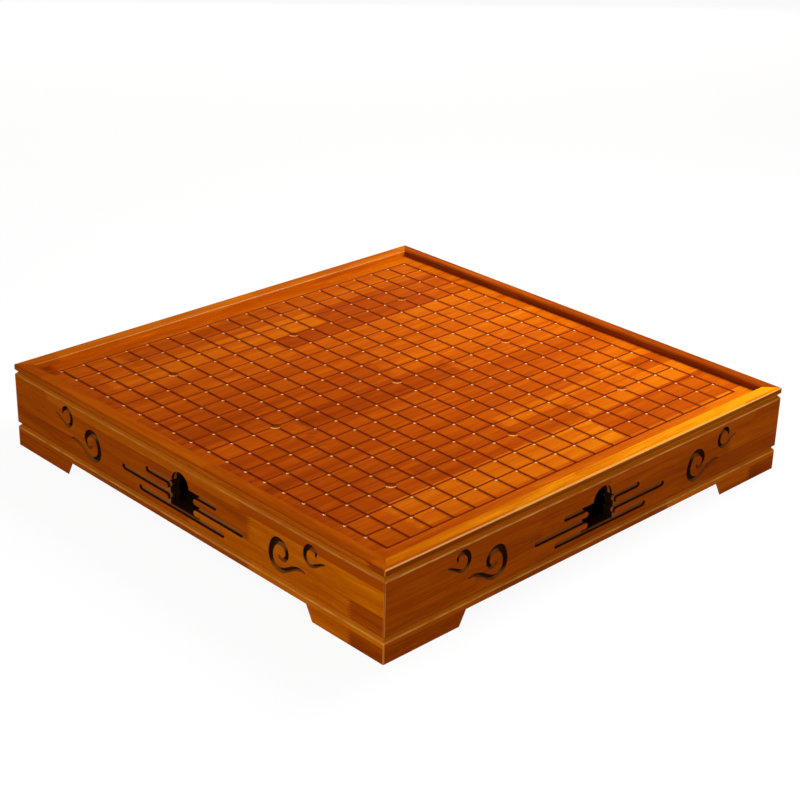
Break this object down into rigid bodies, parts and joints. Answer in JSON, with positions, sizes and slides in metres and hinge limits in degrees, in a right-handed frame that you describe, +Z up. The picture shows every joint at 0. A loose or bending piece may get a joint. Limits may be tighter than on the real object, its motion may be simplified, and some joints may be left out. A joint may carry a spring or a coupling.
{
  "type": "go board",
  "caption": "Square wooden go board on a low carved case with bracket feet; two drawers for the stones pull out of opposite sides by cloud-shaped finger holes.",
  "frame": {"origin": "middle of the footprint on the table", "axes": "+Z up, X and Y along the sides; the drawers pull out along -Y and +Y, the fixed carved walls face -X and +X"},
  "size_m": [0.48, 0.48, 0.0793],
  "materials": {
    "board_face": "gloss lacquer over jointed blocks, dark stained grid grooves",
    "rim_wood": "gloss lacquer",
    "carved_wood": "gloss lacquer, dark stained carving",
    "plinth_wood": "gloss lacquer",
    "inner_wood": "bare sanded",
    "dowel_wood": "bare",
    "pad_felt": "felt",
    "screw_steel": "zinc plated"
  },
  "bodies": {
    "case": {"back_bearer": "inner_wood", "bottom_panel": "inner_wood", "centre_divider": "inner_wood", "corner_block_1": "inner_wood", "corner_block_2": "inner_wood", "corner_block_3": "inner_wood", "corner_block_4": "inner_wood", "floor_screws": "screw_steel", "foot_pads": "pad_felt", "front_bearer": "inner_wood", "guide_partition_left": "inner_wood", "guide_partition_right": "inner_wood", "playing_board": "board_face", "plinth_pins": "dowel_wood", "plinth_rail_back": "plinth_wood", "plinth_rail_front": "plinth_wood", "plinth_rail_left": "plinth_wood", "plinth_rail_right": "plinth_wood", "rim_pins": "dowel_wood", "rim_rail_back": "rim_wood", "rim_rail_front": "rim_wood", "rim_rail_left": "rim_wood", "rim_rail_right": "rim_wood", "side_wall_left": "carved_wood", "side_wall_right": "carved_wood"},
    "front_drawer": {"front_drawer_back": "inner_wood", "front_drawer_bottom": "inner_wood", "front_drawer_dowels": "dowel_wood", "front_drawer_inner_front": "inner_wood", "front_drawer_panel": "carved_wood", "front_drawer_side_left": "inner_wood", "front_drawer_side_right": "inner_wood"},
    "back_drawer": {"back_drawer_back": "inner_wood", "back_drawer_bottom": "inner_wood", "back_drawer_dowels": "dowel_wood", "back_drawer_inner_front": "inner_wood", "back_drawer_panel": "carved_wood", "back_drawer_side_left": "inner_wood", "back_drawer_side_right": "inner_wood"}
  },
  "joints": [
    {"name": "front_drawer_slide", "type": "slide", "parent": "case", "child": "front_drawer", "axis": [0, -1, 0], "range_m": [0, 0.165]},
    {"name": "back_drawer_slide", "type": "slide", "parent": "case", "child": "back_drawer", "axis": [0, 1, 0], "range_m": [0, 0.165]}
  ]
}
